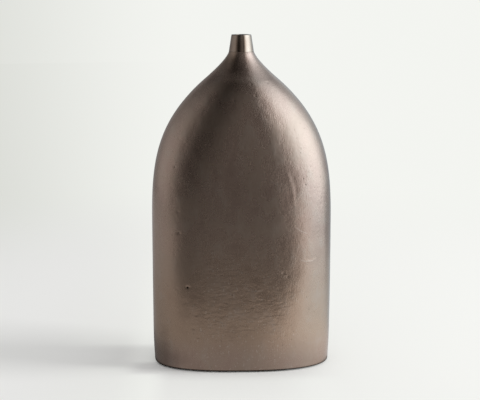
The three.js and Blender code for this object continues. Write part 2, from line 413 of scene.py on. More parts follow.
@dataclass(frozen=True)
class CastBronze(Finish):
    """The brown bronze finish on the body's fine sand casting, brushed to a satin sheen.

    It wanders between a mauve and an olive brown, is warmer towards the foot, and holds a dark stain in its
    pores. Left of the neck it is darkened with painted shade. The sand left upright flecks in the skin, and
    the metal's flow left level ripples low on the body.
    """

    name: str = "cast_bronze"
    mauve: Colour = (0.488, 0.35, 0.287, 1.0)
    olive: Colour = (0.47, 0.35, 0.278, 1.0)
    warm: Colour = (0.512, 0.362, 0.263, 1.0)
    pale: Colour = (0.56, 0.46, 0.4, 1.0)
    # The dark brown is a real stain in the hollows and pores, and painted shade on the left of the neck.
    dark_brown: Colour = (0.27, 0.19, 0.14, 1.0)
    dirt: Colour = (0.03, 0.022, 0.018, 1.0)
    bare: Colour = (0.86, 0.76, 0.68, 1.0)
    roughness: float = 0.27
    patch_size: float = 55 * MM
    patch_roughness: float = 0.1
    mottle_size: float = 15 * MM
    mottle_roughness: float = 0.08
    hue_share: Span = (0.35, 0.65)
    raised_share: Span = (0.5, 0.8)
    raised_rubbed: float = 0.3
    sunken_share: Span = (0.2, 0.5)
    sunken_stained: float = 0.2
    pore_size: float = 2.2 * MM
    pore_share: Span = (0.665, 0.74)
    pore_depth: float = 1.5
    pore_roughness: float = 0.12
    pore_stained: float = 0.45
    dent_depth: float = 0.4 * MM
    ripple_size: float = 4.5 * MM
    ripple_depth: float = 0.32 * MM
    ripple_heights: Band = (15 * MM, 60 * MM, 130 * MM, 220 * MM)
    ripple_half_squared: Span = (0.0009, 0.005)
    ripple_all_over: float = 0.25
    fleck_size: float = 1.25 * MM
    fleck_depth: float = 0.1 * MM
    fleck_right: Span = (0.0, 35 * MM)
    fleck_left_share: float = 0.75
    fleck_right_gain: float = 0.5
    speck_size: float = 2.1 * MM
    speck_share: Span = (0.64, 0.74)
    speck_heights: Span = (120 * MM, 220 * MM)
    speck_half_squared: Span = (0.002, 0.007)
    speck_bared: float = 0.3
    grain_size: float = 1.1 * MM
    grain_depth: float = 0.02 * MM
    warm_heights: Span = (70 * MM, 210 * MM)
    warm_foot: Span = (12 * MM, 55 * MM)
    warm_wander: float = 120 * MM
    warmed: float = 0.8
    # Painted shade on the left of the neck: where it lies, and how dark it is painted.
    neck_heights: Span = (382 * MM, 402 * MM)
    neck_left: Span = (-9 * MM, -3 * MM)
    neck_painted_shade: float = 0.75
    scratched: float = 0.2
    scratch_core: float = 0.1
    pore_edge: Span = (0.5, 1.3)
    front: Span = (0.0, 5 * MM)
    scratches: tuple[Scratch, ...] = (
        Scratch(11.0, 109.5, 25.0, 110.2, 1.0),
        Scratch(75.0, 149.0, 80.5, 147.4, 1.1),
        Scratch(80.5, 147.4, 90.0, 147.6, 1.4),
        Scratch(63.3, 98.8, 67.3, 104.0, 0.9),
        Scratch(69.0, 191.2, 75.0, 186.6, 1.2),
        Scratch(75.0, 186.6, 82.2, 183.6, 1.0),
        Scratch(8.8, 166.4, 9.3, 165.2, 0.8),
        Scratch(52.0, 127.9, 53.0, 127.9, 1.0),
        Scratch(49.8, 132.6, 50.4, 133.4, 0.7),
        Scratch(-18.0, 76.0, -8.5, 76.3, 1.0),
        Scratch(6.0, 68.5, 14.5, 70.2, 0.9),
    )
    pores: tuple[Pore, ...] = (
        Pore(-70.3, 114.2, 1.5),
        Pore(-85.6, 268.3, 0.7),
        Pore(-81.1, 185.6, 0.7),
        Pore(77.6, 253.5, 0.6),
        Pore(80.2, 245.8, 0.7),
        Pore(73.5, 286.0, 0.5),
        Pore(55.5, 131.0, 0.7),
        Pore(-13.6, 105.0, 0.7),
    )

    def _sockets(self, graph: Graph) -> dict[str, object]:
        """Give the shader's sockets."""
        patches = graph.noise(self.patch_size, detail=3.0, warp=0.6)
        mottle = graph.noise(self.mottle_size, detail=4.0, stretch=(1.0, 1.0, 1.5))
        flecks = graph.noise(self.fleck_size, stretch=(1.0, 1.0, 3.2), warp=0.3)
        grain = graph.noise(self.grain_size)
        pores = graph.noise(self.pore_size, stretch=(1.0, 1.0, 1.6)).between(*self.pore_share)
        uneven = (patches - 0.5) * self.patch_roughness + (mottle - 0.5) * self.mottle_roughness
        return {
            "Base Color": self._marked(graph, self._colour(graph, patches, mottle, flecks, pores)),
            "Metallic": 1.0,
            "Roughness": uneven + pores * self.pore_roughness + self.roughness,
            "Normal": self._normal(graph, mottle, flecks, grain - pores * self.pore_depth),
        }

    def _colour(
        self, graph: Graph, patches: Value, mottle: Value, flecks: Value, pores: Value
    ) -> bpy.types.NodeSocket:
        """Mix the finish's colour.

        Args:
            graph: The material's graph.
            patches: The broad patches, around 0.5.
            mottle: The mottling, around 0.5.
            flecks: The flecks, around 0.5.
            pores: Where a pore holds a stain.

        Returns:
            The colour's socket.
        """
        across, _, height = graph.axes()
        low = (height + (patches - 0.5) * self.warm_wander).fading(*self.warm_heights)
        hue = graph.mix((patches * 0.7 + mottle * 0.5 - 0.1).between(*self.hue_share), self.mauve, self.olive)
        base = graph.mix(low * height.between(*self.warm_foot) * self.warmed, hue, self.warm)
        raised = (mottle + (flecks - 0.5) * 0.5).between(*self.raised_share)
        rubbed = graph.mix(raised * self.raised_rubbed, base, self.pale)
        middle = across.squared().fading(*self.speck_half_squared) * height.fading(*self.speck_heights)
        specks = graph.noise(self.speck_size, detail=1.0, stretch=(1.0, 1.0, 1.4))
        bared = specks.between(*self.speck_share) * middle * self.speck_bared
        sunken = (mottle + (patches - 0.5) * 0.8).fading(*self.sunken_share)
        # Painted shade: the left of the neck is darkened towards the dark brown.
        neck = height.between(*self.neck_heights) * across.fading(*self.neck_left) * self.neck_painted_shade
        # What is darkened is real stain in the hollows and pores, plus the painted shade left of the neck.
        darkened = sunken * self.sunken_stained + pores * self.pore_stained + neck
        return graph.mix(darkened, graph.mix(bared, rubbed, self.bare), self.dark_brown)

    def _marked(self, graph: Graph, colour: bpy.types.NodeSocket) -> bpy.types.NodeSocket:
        """Lay the front's few marks over a colour, which are dirty pores and scratches.

        Args:
            graph: The material's graph.
            colour: The finish's colour.

        Returns:
            The marked colour's socket.
        """
        across, behind, height = graph.axes()
        front = (0.0 - behind).between(*self.front)
        for pore in self.pores:
            away = (across - pore.x * MM).distance_with(height - pore.z * MM)
            inner, outer = (pore.radius * MM * share for share in self.pore_edge)
            colour = graph.mix(away.fading(inner, outer) * front, colour, self.dirt)
        for scratch in self.scratches:
            run = Vector((scratch.end_x - scratch.x, scratch.end_z - scratch.z)) * MM
            run_x, run_z = run.normalized()
            from_x, from_z = across - scratch.x * MM, height - scratch.z * MM
            along = from_x * run_x + from_z * run_z
            aside = from_x * run_z - from_z * run_x
            beyond = (along * -1.0).at_least(0.0) + (along - run.length).at_least(0.0)
            radius = scratch.radius * MM
            bare = aside.distance_with(beyond).fading(radius * self.scratch_core, radius)
            colour = graph.mix(bare * front * self.scratched, colour, self.bare)
        return colour

    def _normal(self, graph: Graph, mottle: Value, flecks: Value, grain: Value) -> bpy.types.NodeSocket:
        """Lay the skin's unevenness over each other, from the broadest to the finest.

        Args:
            graph: The material's graph.
            mottle: The mottling, around 0.5, which follows shallow dents.
            flecks: The flecks, around 0.5.
            grain: The finest grain, around 0.5.

        Returns:
            The normal's socket.
        """
        across, _, height = graph.axes()
        low = height.band(*self.ripple_heights)
        middle = across.squared().fading(*self.ripple_half_squared)
        ripples = graph.noise(self.ripple_size, detail=2.5, stretch=(2.4, 2.4, 1.0), warp=0.7)
        dented = graph.bump(mottle, self.dent_depth)
        share = low * middle * (1.0 - self.ripple_all_over) + self.ripple_all_over
        rippled = graph.bump(ripples * share, self.ripple_depth, dented)
        sanded = across.between(*self.fleck_right) * self.fleck_right_gain + self.fleck_left_share
        flecked = graph.bump(flecks * sanded, self.fleck_depth, rippled)
        return graph.bump(grain, self.grain_depth, flecked)


@dataclass(frozen=True)
class TurnedBronze(Finish):
    """The spout's turned, polished, bronzed finish, with the tool's rings and painted shade on its left."""

    name: str = "turned_bronze"
    dark: Colour = (0.45, 0.325, 0.25, 1.0)
    light: Colour = (0.58, 0.46, 0.37, 1.0)
    # Painted shade: the spout's left is darkened towards this dark brown, by the share below.
    dark_brown: Colour = (0.2, 0.14, 0.105, 1.0)
    darkened: float = 0.55
    painted_shade_left: Span = (-6 * MM, 2 * MM)
    roughness: float = 0.15
    patch_size: float = 8 * MM
    patch_depth: float = 0.05 * MM
    patch_share: Span = (0.3, 0.72)
    patch_roughness: float = 0.1
    ring_size: float = 0.35 * MM
    ring_stretch: float = 60.0
    ring_depth: float = 0.005 * MM
    ring_roughness: float = 0.05

    def _sockets(self, graph: Graph) -> dict[str, object]:
        """Give the shader's sockets."""
        across, _, _ = graph.axes()
        patches = graph.noise(self.patch_size, detail=4.0, stretch=(1.0, 1.0, 2.5), warp=0.4)
        rings = graph.noise(self.ring_size, detail=1.0, stretch=(self.ring_stretch, self.ring_stretch, 1.0))
        polished = graph.mix(patches.between(*self.patch_share), self.dark, self.light)
        uneven = (patches - 0.5) * self.patch_roughness + (rings - 0.5) * self.ring_roughness
        return {
            # Painted shade darkens the spout's left side.
            "Base Color": graph.mix(across.fading(*self.painted_shade_left) * self.darkened, polished, self.dark_brown),
            "Metallic": 1.0,
            "Roughness": uneven + self.roughness,
            "Normal": graph.bump(rings, self.ring_depth, graph.bump(patches, self.patch_depth)),
        }


@dataclass(frozen=True)
class RawCasting(Finish):
    """The finish that stays inside the body and on the base plate: a dull casting with a sandy skin."""

    name: str = "raw_casting"
    dark: Colour = (0.09, 0.07, 0.055, 1.0)
    light: Colour = (0.21, 0.175, 0.15, 1.0)
    metallic: float = 0.85
    roughness: float = 0.58
    patch_size: float = 18 * MM
    sand_size: float = 1.6 * MM
    sand_depth: float = 0.12 * MM
    sand_roughness: float = 0.2

    def _sockets(self, graph: Graph) -> dict[str, object]:
        """Give the shader's sockets."""
        patches = graph.noise(self.patch_size, detail=4.0)
        sand = graph.noise(self.sand_size, detail=4.0)
        return {
            "Base Color": graph.mix(patches * 0.6 + sand * 0.4, self.dark, self.light),
            "Metallic": self.metallic,
            "Roughness": (sand - 0.5) * self.sand_roughness + self.roughness,
            "Normal": graph.bump(sand, self.sand_depth),
        }


@dataclass(frozen=True)
class PressedFelt(Finish):
    """Dark wool felt with short crossing fibres."""

    name: str = "pressed_felt"
    dark: Colour = (0.012, 0.011, 0.01, 1.0)
    light: Colour = (0.05, 0.045, 0.04, 1.0)
    roughness: float = 0.95
    sheen: float = 0.4
    sheen_roughness: float = 0.5
    fibre_size: float = 0.25 * MM
    fibre_stretch: float = 7.0
    fibre_share: Span = (0.3, 0.7)
    fibre_depth: float = 0.25 * MM

    def _sockets(self, graph: Graph) -> dict[str, object]:
        """Give the shader's sockets."""
        along, across = (
            graph.noise(self.fibre_size, stretch=stretch, warp=0.8)
            for stretch in ((self.fibre_stretch, 1.0, 1.0), (1.0, self.fibre_stretch, 1.0))
        )
        fibres = (along + across) * 0.5
        return {
            "Base Color": graph.mix(fibres.between(*self.fibre_share), self.dark, self.light),
            "Roughness": self.roughness,
            "Sheen Weight": self.sheen,
            "Sheen Roughness": self.sheen_roughness,
            "Normal": graph.bump(fibres, self.fibre_depth),
        }


class Slot(Enum):
    """The record's material slots."""

    BODY = "body_bronze"
    NECK = "neck_bronze"
    BASE = "base_casting"
    FELT = "felt"


@dataclass(frozen=True)
class Finishes:
    """The vase's materials, each built once."""

    cast: bpy.types.Material = field(default_factory=lambda: CastBronze().material())
    turned: bpy.types.Material = field(default_factory=lambda: TurnedBronze().material())
    raw: bpy.types.Material = field(default_factory=lambda: RawCasting().material())
    felt: bpy.types.Material = field(default_factory=lambda: PressedFelt().material())


def new_object(
    name: str, shape: bmesh.types.BMesh, materials: Iterable[bpy.types.Material]
) -> bpy.types.Object:
    """Make an object of a finished shape.

    Args:
        name: The object's name.
        shape: Its shape in place, which is used up.
        materials: Its materials, in the order of the faces' material numbers.

    Returns:
        The object.
    """
    mesh = bpy.data.meshes.new(name)
    shape.to_mesh(mesh)
    shape.free()
    for material in materials:
        mesh.materials.append(material)
    made = bpy.data.objects.new(name, mesh)
    bpy.context.scene.collection.objects.link(made)
    return made


def add_piece(
    name: str, shape: bmesh.types.BMesh, materials: Iterable[bpy.types.Material], node: str
) -> bpy.types.Object:
    """Make an object of a finished shape, and let it stand for a solid of the frame.

    Args:
        name: The piece's name.
        shape: Its shape in place, which is used up.
        materials: Its materials, in the order of the faces' material numbers.
        node: The solid that it replaces.

    Returns:
        The object.
    """
    piece = new_object(name, shape, materials)
    piece.data.set_sharp_from_angle(angle=SMOOTH_ANGLE)
    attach(piece, BODY)
    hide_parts(node)
    log.info("%s: %d faces, for %s", name, len(piece.data.polygons), node)
    return piece


def drawn_to_oval(place: Vector, half_width: float, half_depth: float, fullness: float) -> Vector:
    """Move a place straight in or out onto an oval.

    Args:
        place: The place, of which only the direction from the middle counts.
        half_width: Half of the oval's width.
        half_depth: Half of its depth.
        fullness: The oval's exponent, 2 for an ellipse and more for a squarer one.

    Returns:
        The flat place on the oval.
    """
    along = Vector((place.x, place.y)).normalized()
    reach = abs(along.x / half_width) ** fullness + abs(along.y / half_depth) ** fullness
    return along * reach ** (-1.0 / fullness)


def rounded(start: Vector, corner: Vector, end: Vector, count: int) -> list[Vector]:
    """Round a corner with a parabola that leaves along its two sides.

    Args:
        start: Where the rounding starts.
        corner: The corner that it cuts off.
        end: Where it ends.
        count: How many points it gets.

    Returns:
        The points of the rounding.
    """
    return interpolate_bezier(start, start.lerp(corner, 2 / 3), end.lerp(corner, 2 / 3), end, count)


def spin_round(shape: bmesh.types.BMesh, section: Sequence[bmesh.types.BMVert], turns: int) -> None:
    """Close a section with edges and spin it once round the vase's axis.

    Args:
        shape: The shape that holds the section's corners.
        section: The corners, in order.
        turns: How many steps the turn has.
    """
    edges = [shape.edges.new((corner, section[i - 1])) for i, corner in enumerate(section)]
    bmesh.ops.spin(
        shape,
        geom=[*section, *edges],
        cent=(0.0, 0.0, 0.0),
        axis=(0.0, 0.0, 1.0),
        dvec=(0.0, 0.0, 0.0),
        angle=2 * math.pi,
        steps=turns,
        use_merge=True,
    )
    bmesh.ops.remove_doubles(shape, verts=shape.verts, dist=MERGE_DISTANCE)


def raise_plate(shape: bmesh.types.BMesh, thickness: float, bevel: float, segments: int) -> None:
    """Raise a flat disc into a plate, and break its edges.

    Args:
        shape: The disc.
        thickness: The plate's thickness.
        bevel: How far the broken edges reach.
        segments: How many faces round them.
    """
    raised = bmesh.ops.extrude_face_region(shape, geom=list(shape.faces))["geom"]
    lifted = [part for part in raised if isinstance(part, bmesh.types.BMVert)]
    bmesh.ops.translate(shape, verts=lifted, vec=(0.0, 0.0, thickness))
    bmesh.ops.recalc_face_normals(shape, faces=shape.faces)
    sharp = [edge for edge in shape.edges if edge.calc_face_angle(0.0) > SHARP_ANGLE]
    bmesh.ops.bevel(
        shape,
        geom=sharp,
        offset=bevel,
        affect="EDGES",
        segments=segments,
        profile=0.5,
        material=-1,
    )


def smooth_faces(shape: bmesh.types.BMesh) -> None:
    """Shade all of a shape's faces smoothly."""
    for face in shape.faces:
        face.smooth = True


def read_between(places: Sequence[float], values: Sequence[float], place: float) -> float:
    """Read a value off a line drawn through points.

    Args:
        places: Where the points lie, in rising order.
        values: The points' values.
        place: Where to read.

    Returns:
        The value there, or an end's value outside the line.
    """
    above = min(max(bisect_right(places, place), 1), len(places) - 1)
    share = (place - places[above - 1]) / (places[above] - places[above - 1])
    return values[above - 1] + (values[above] - values[above - 1]) * min(max(share, 0.0), 1.0)


class Outline:
    """Half of the body's width or depth against height."""

    def __init__(self, points: Sequence[Vector]) -> None:
        """Keep the points whose height, their second coordinate, rises."""
        rising = [points[0]]
        for point in points[1:]:
            if point.y > rising[-1].y:
                rising.append(point)
        self.points = rising
        self.halves = [point.x for point in rising]
        self.heights = [point.y for point in rising]

    def half_at(self, height: float) -> float:
        """Give half of the width or depth at a height."""
        return read_between(self.heights, self.halves, height)

    def spaced_heights(self, spacing: float) -> list[float]:
        """List the heights of points that lie evenly along the outline.

        Args:
            spacing: The distance between two of them.

        Returns:
            The heights, from the lowest to the highest.
        """
        travelled = [0.0]
        for before, after in zip(self.points, self.points[1:]):
            travelled.append(travelled[-1] + (after - before).length)
        distances = steps(0.0, travelled[-1], round(travelled[-1] / spacing))
        return [read_between(travelled, self.heights, distance) for distance in distances]

    def inset(self, distance: float) -> "Outline":
        """Give the outline of a surface inside this one.

        Args:
            distance: How far inside it lies.

        Returns:
            The inner outline.
        """
        moved = []
        for i, point in enumerate(self.points):
            before = self.points[max(i - 1, 0)]
            after = self.points[min(i + 1, len(self.points) - 1)]
            along = (after - before).normalized()
            moved.append(Vector((point.x - distance * along.y, point.y + distance * along.x)))
        return Outline(moved)


@dataclass(frozen=True)
class Shoulder:
    """One side view of the shoulder: a straight side that bends in to a turn and out again to the neck."""

    rise: float
    turn_half: float
    turn_lean: float
    pull: float
    throat_pull: float


@dataclass(frozen=True)
class Station:
    """One corner of the body's wall in section, which the spin carries round the vase."""

    half_width: float
    half_depth: float
    height: float
    fullness: float
    skin: bool = False


@dataclass(frozen=True)
class Pit:
    """A small hollow that the casting left in the skin. Its side is -1 for the front and 1 for the rear."""

    x: float
    z: float
    radius: float
    depth: float
    side: float = -1.0


@dataclass(frozen=True)
class Crease:
    """A ridge in the skin with a groove beside it, on the front, which wanders and fades at its ends."""

    start: tuple[float, float]
    end: tuple[float, float]
    width: float
    height: float
    bend: float = 1.5
    bends: float = 3.0
    variety: float = 40.0
    groove: float = 0.8
    fade: float = 0.25

    @property
    def reach(self) -> float:
        """Give how far past its ends the crease can move the skin."""
        return 4 * self.width


@dataclass(frozen=True)
class Swell:
    """A broad low rise or hollow of the front wall."""

    x: float
    z: float
    spread_x: float
    spread_z: float
    height: float


class Half(Enum):
    """The two castings of the body, with the side of the parting plane that each lies on."""

    FRONT = ("front_shell", -1.0)
    REAR = ("rear_shell", 1.0)


@dataclass
class CastBody:
    """The hollow body in two castings, with their waves, ripples, pits and creases."""

    wall: float = 4 * MM
    trunk_draft: float = 0.6 * MM
    foot_fullness: float = 2.5
    body_fullness: float = 3.3
    round_fullness: float = 2.0
    full_bottom: float = 132 * MM
    full_top: float = 150 * MM
    round_height: float = 352 * MM
    foot_tuck: float = 1.4 * MM
    foot_tuck_height: float = 45 * MM
    foot_edge_radius: float = 2.5 * MM
    foot_edge_steps: int = 12
    foot_rim_wall: float = 3.4 * MM
    plate_top: float = 5.5 * MM
    flange_thickness: float = 4 * MM
    flange_reach: float = 9 * MM
    throat_height: float = 33.5 * MM
    socket_depth: float = 14 * MM
    socket_radius: float = 12.5 * MM
    joint_chamfer: float = 0.15 * MM
    neck_lean: float = math.atan(3.3 / 21.5)
    front_view: Shoulder = Shoulder(194 * MM, 46.4 * MM, math.radians(49.4), 73 * MM, 36.6 * MM)
    side_view: Shoulder = Shoulder(220 * MM, 31 * MM, math.radians(36), 60 * MM, 27 * MM)
    tuck_points: int = 24
    shoulder_points: int = 160
    throat_points: int = 80
    turns: int = 384
    row_spacing: float = 1.3 * MM
    cavity_rows: int = 48
    wave_size: float = 85 * MM
    wave_height: float = 0.22 * MM
    wave_top: float = 0.8
    calm_sides: Span = (85 * MM, 112 * MM)
    calm_share: float = 0.6
    dent_size: float = 30 * MM
    dent_height: float = 0.05 * MM
    dent_start: Vector = field(default_factory=lambda: Vector((5.0, 1.0, 3.0)))
    ripple_width: float = 13 * MM
    ripple_rise: float = 6 * MM
    ripple_height: float = 0.035 * MM
    ripple_all_over: float = 0.3
    ripple_top: Span = (165 * MM, 100 * MM)
    ripple_foot: Span = (60 * MM, 20 * MM)
    swell_front: Span = (20 * MM, 50 * MM)
    kept_foot: float = 8 * MM
    kept_neck: float = 14 * MM
    pit_count: int = 70
    pit_seed: int = 7
    pit_foot: float = 12 * MM
    pit_spread: float = 0.95
    pit_radii: Span = (1.3 * MM, 1.9 * MM)
    pit_depths: Span = (0.08 * MM, 0.28 * MM)
    swells: tuple[Swell, ...] = (Swell(25 * MM, 120 * MM, 55 * MM, 60 * MM, 0.3 * MM),)
    pits: tuple[Pit, ...] = (
        Pit(-70.3 * MM, 114.6 * MM, 2.2 * MM, 0.9 * MM),
        Pit(-81.1 * MM, 185 * MM, 1.8 * MM, 0.6 * MM),
        Pit(-85.6 * MM, 268.3 * MM, 1.6 * MM, 0.4 * MM),
        Pit(-40.4 * MM, 296.7 * MM, 1.8 * MM, 0.35 * MM),
        Pit(80.2 * MM, 245.8 * MM, 1.5 * MM, 0.5 * MM),
        Pit(51.9 * MM, 132.9 * MM, 1.8 * MM, 0.5 * MM),
        Pit(57.1 * MM, 128.6 * MM, 1.9 * MM, 0.5 * MM),
        Pit(-63.7 * MM, 59.7 * MM, 2.0 * MM, 0.45 * MM),
        Pit(-57.3 * MM, 48.1 * MM, 1.9 * MM, 0.4 * MM),
    )
    creases: tuple[Crease, ...] = (
        Crease((55.0 * MM, 269.0 * MM), (67.5 * MM, 214.0 * MM), 3.0 * MM, 0.16 * MM),
        Crease((78.0 * MM, 148.0 * MM), (96.0 * MM, 148.0 * MM), 2.0 * MM, 0.25 * MM),
        Crease((9.6 * MM, 111.0 * MM), (24.9 * MM, 110.8 * MM), 1.8 * MM, 0.12 * MM),
    )

    def __post_init__(self) -> None:
        """Take the body's reach from the frame and draw its two outlines."""
        low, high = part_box("rear_shell")
        self.half_width = high[0]
        self.half_depth = high[1]
        self.foot = low[2]
        self.joint = high[2]
        self.turn = self.joint - self.throat_height
        self.neck_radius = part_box("neck_spout")[1][0]
        self.width = self._outline(self.half_width, self.front_view)
        self.depth = self._outline(self.half_depth, self.side_view)

    def _outline(self, half: float, shoulder: Shoulder) -> Outline:
        """Draw one of the body's outlines from the foot's edge up to the neck.

        Args:
            half: Half of the straight side's width or depth.
            shoulder: The shoulder's curve.

        Returns:
            The outline.
        """
        foot_half = half - self.foot_tuck
        radius = self.foot_edge_radius
        edge = [
            Vector((foot_half - radius * (1 - math.sin(angle)), self.foot + radius * (1 - math.cos(angle))))
            for angle in steps(0.0, math.pi / 2, self.foot_edge_steps)
        ]
        tuck_start = Vector((foot_half, self.foot + radius))
        tuck_end = Vector((half, self.foot + self.foot_tuck_height))
        knee = Vector((half, self.foot + self.foot_tuck_height / 2))
        tuck = rounded(tuck_start, knee, tuck_end, self.tuck_points)
        lean = shoulder.turn_lean
        turn = Vector((shoulder.turn_half, self.turn))
        inwards = Vector((-math.sin(lean), math.cos(lean)))
        trunk_half = half - self.trunk_draft
        start = Vector((trunk_half, self.turn - shoulder.rise))
        corner = Vector((trunk_half, self.turn - (trunk_half - shoulder.turn_half) / math.tan(lean)))
        joint = Vector((self.neck_radius, self.joint))
        taper = Vector((-math.sin(self.neck_lean), math.cos(self.neck_lean))) * MM
        upright = start + Vector((0.0, shoulder.pull))
        side = interpolate_bezier(start, upright, corner, turn, self.shoulder_points)
        sweep = turn + inwards * shoulder.throat_pull
        throat = interpolate_bezier(turn, sweep, joint - taper, joint, self.throat_points)
        return Outline([*edge, *tuck, *side, *throat])

    def _fullness_at(self, height: float) -> float:
        """Give the section's exponent at a height.

        Args:
            height: The height.

        Returns:
            The exponent, which rises up the trunk and falls to an ellipse's at the shoulders.
        """
        squarer = smoothstep(height, self.plate_top + self.flange_thickness, self.full_bottom)
        rounder = smoothstep(height, self.full_top, self.round_height)
        rise = (self.body_fullness - self.foot_fullness) * squarer
        return self.foot_fullness + rise + (self.round_fullness - self.body_fullness) * rounder

    def _skin_stations(self) -> list[Station]:
        """List the outer skin's corners, from the foot's flat rim up to the neck's joint."""
        edge_top = self.foot + self.foot_edge_radius
        edge = [z for z in self.width.heights if z <= edge_top]
        spaced = self.width.spaced_heights(self.row_spacing)
        margin = self.row_spacing / 2
        rows = [z for z in spaced if edge_top + margin < z < self.joint - margin]
        heights = [*edge, *rows, self.joint - self.joint_chamfer]
        return [
            Station(self.width.half_at(z), self.depth.half_at(z), z, self._fullness_at(z), skin=True)
            for z in heights
        ]

    def _foot_station(self, inset: float, height: float) -> Station:
        """Give a corner that lies inside the foot's oval by an inset."""
        half_width = self.half_width - self.foot_tuck - inset
        half_depth = self.half_depth - self.foot_tuck - inset
        return Station(half_width, half_depth, height, self.foot_fullness)

    def _inner_stations(self) -> list[Station]:
        """List the rest of the wall's corners: socket, cavity, flange and plate seat, from the neck down."""
        rim = self.neck_radius - self.joint_chamfer
        socket_foot = self.joint - self.socket_depth
        corners = ((rim, self.joint), (self.socket_radius, self.joint), (self.socket_radius, socket_foot))
        ring = [Station(radius, radius, z, self.round_fullness) for radius, z in corners]
        width, depth = self.width.inset(self.wall), self.depth.inset(self.wall)
        flange_top = self.plate_top + self.flange_thickness
        cavity = [
            Station(width.half_at(z), depth.half_at(z), z, self._fullness_at(z))
            for z in steps(socket_foot, flange_top, self.cavity_rows)
        ]
        flange = self.wall + self.flange_reach
        foot = [
            self._foot_station(flange, flange_top),
            self._foot_station(flange, self.plate_top),
            self._foot_station(self.foot_rim_wall, self.plate_top),
            self._foot_station(self.foot_rim_wall, self.foot),
        ]
        return [*ring, *cavity, *foot]

    def _spun_wall(self) -> tuple[bmesh.types.BMesh, list[bmesh.types.BMVert]]:
        """Spin the wall's section round the vase and draw each ring into its oval.

        Returns:
            The closed shape, and the corners of its skin.
        """
        stations = [*self._skin_stations(), *self._inner_stations()]
        shape = bmesh.new()
        number = shape.verts.layers.int.new("station")
        section = [shape.verts.new((station.half_width, 0.0, station.height)) for station in stations]
        for i, corner in enumerate(section):
            corner[number] = i
        spin_round(shape, section, self.turns)
        skin = []
        for corner in shape.verts:
            station = stations[corner[number]]
            flat = drawn_to_oval(corner.co, station.half_width, station.half_depth, station.fullness)
            corner.co = (flat.x, flat.y if abs(flat.y) > ON_PARTING else 0.0, station.height)
            if station.skin:
                skin.append(corner)
        smooth_faces(shape)
        for face in shape.faces:
            outside = all(stations[corner[number]].skin for corner in face.verts)
            face.material_index = 0 if outside else 1
        bmesh.ops.recalc_face_normals(shape, faces=shape.faces)
        return shape, skin

    def _wave(self, place: Vector) -> float:
        """Give the broad unevenness of the casting at a place on the skin.

        Args:
            place: The place on the smooth skin.

        Returns:
            How far the skin lies inside its smooth form, never more than 0.
        """
        height = self.wave_height * (1.0 - self.calm_share * smoothstep(abs(place.x), *self.calm_sides))
        waves = (noise.noise(place / self.wave_size) - self.wave_top) * height
        dents = (noise.noise(place / self.dent_size + self.dent_start) - 1.0) * self.dent_height
        width, rise = self.ripple_width, self.ripple_rise
        ripple = Vector((place.x / width, place.y / width, place.z / rise))
        foot = 1.0 - self.calm_share * smoothstep(place.z, *self.ripple_foot)
        low = smoothstep(place.z, *self.ripple_top) * foot
        share = self.ripple_all_over + (1.0 - self.ripple_all_over) * low
        ripples = (noise.noise(ripple) - 1.0) * self.ripple_height * share
        broad = 0.0
        for swell in self.swells if place.y < 0.0 else ():
            aside = (place.x - swell.x) / swell.spread_x
            above = (place.z - swell.z) / swell.spread_z
            bulge = math.exp(-(aside**2) - above**2) - 1.0
            broad += swell.height * bulge * smoothstep(-place.y, *self.swell_front)
        return waves + dents + ripples + broad

    def _scattered_pits(self) -> list[Pit]:
        """Scatter small pits over the body, the same on each run.

        Returns:
            The pits.
        """
        chance = random.Random(self.pit_seed)
        pits = []
        for _ in range(self.pit_count):
            z = chance.uniform(self.foot + self.pit_foot, self.turn)
            x = chance.uniform(-self.pit_spread, self.pit_spread) * self.width.half_at(z)
            side = chance.choice((-1.0, 1.0))
            radius = chance.uniform(*self.pit_radii)
            pits.append(Pit(x, z, radius, chance.uniform(*self.pit_depths), side))
        return pits

    def _skin_point(self, x: float, z: float, side: float) -> Vector:
        """Find the point on the smooth skin at a width and a height.

        Args:
            x: The place along the vase's width.
            z: The height.
            side: -1 for the front and 1 for the rear.

        Returns:
            The point.
        """
        power = self._fullness_at(z)
        share = max(1.0 - abs(x / self.width.half_at(z)) ** power, 0.0)
        return Vector((x, side * self.depth.half_at(z) * share ** (1.0 / power), z))

    def _marks(self, skin: Sequence[bmesh.types.BMVert]) -> dict[int, float]:
        """Work out the pits and creases.

        Args:
            skin: The skin's corners.

        Returns:
            By corner number, how far each moves outwards.
        """
        tree = KDTree(len(skin))
        for i, corner in enumerate(skin):
            tree.insert(corner.co, i)
        tree.balance()
        moves: dict[int, float] = {}
        for pit in [*self.pits, *self._scattered_pits()]:
            middle = self._skin_point(pit.x, pit.z, pit.side)
            for _, i, distance in tree.find_range(middle, PIT_REACH * pit.radius):
                bowl = math.exp(-((distance / pit.radius) ** 2) * PIT_STEEPNESS)
                moves[i] = moves.get(i, 0.0) - pit.depth * bowl
        for crease in self.creases:
            self._add_crease(crease, tree, moves)
        return moves

    def _add_crease(self, crease: Crease, tree: KDTree, moves: dict[int, float]) -> None:
        """Add a crease to the corners' moves.

        Args:
            crease: The crease.
            tree: The skin's corners.
            moves: How far each corner moves outwards, which is added to.
        """
        start = Vector(crease.start)
        end = Vector(crease.end)
        length = (end - start).length
        middle = start.lerp(end, 0.5)
        centre = self._skin_point(middle.x, middle.y, -1.0)
        across = Vector((-(end - start).y, (end - start).x)) / length
        for place, i, _ in tree.find_range(centre, length / 2 + crease.reach):
            flat = Vector((place.x, place.z))
            share = min(max((flat - start).dot(end - start) / length**2, 0.0), 1.0)
            wander = noise.noise(Vector((share * crease.bends, length * crease.variety, 0.0)))
            along = start.lerp(end, share)
            offset = (flat - along).dot(across) - wander * crease.width * crease.bend
            gap = (flat - along).length if share in (0.0, 1.0) else abs(offset)
            ridge = math.exp(-((gap / crease.width) ** 2))
            groove = math.exp(-(((offset - crease.width) / crease.width) ** 2)) * crease.groove
            fade = smoothstep(share, 0.0, crease.fade) * smoothstep(1.0 - share, 0.0, crease.fade)
            moves[i] = moves.get(i, 0.0) + crease.height * (ridge - groove) * fade

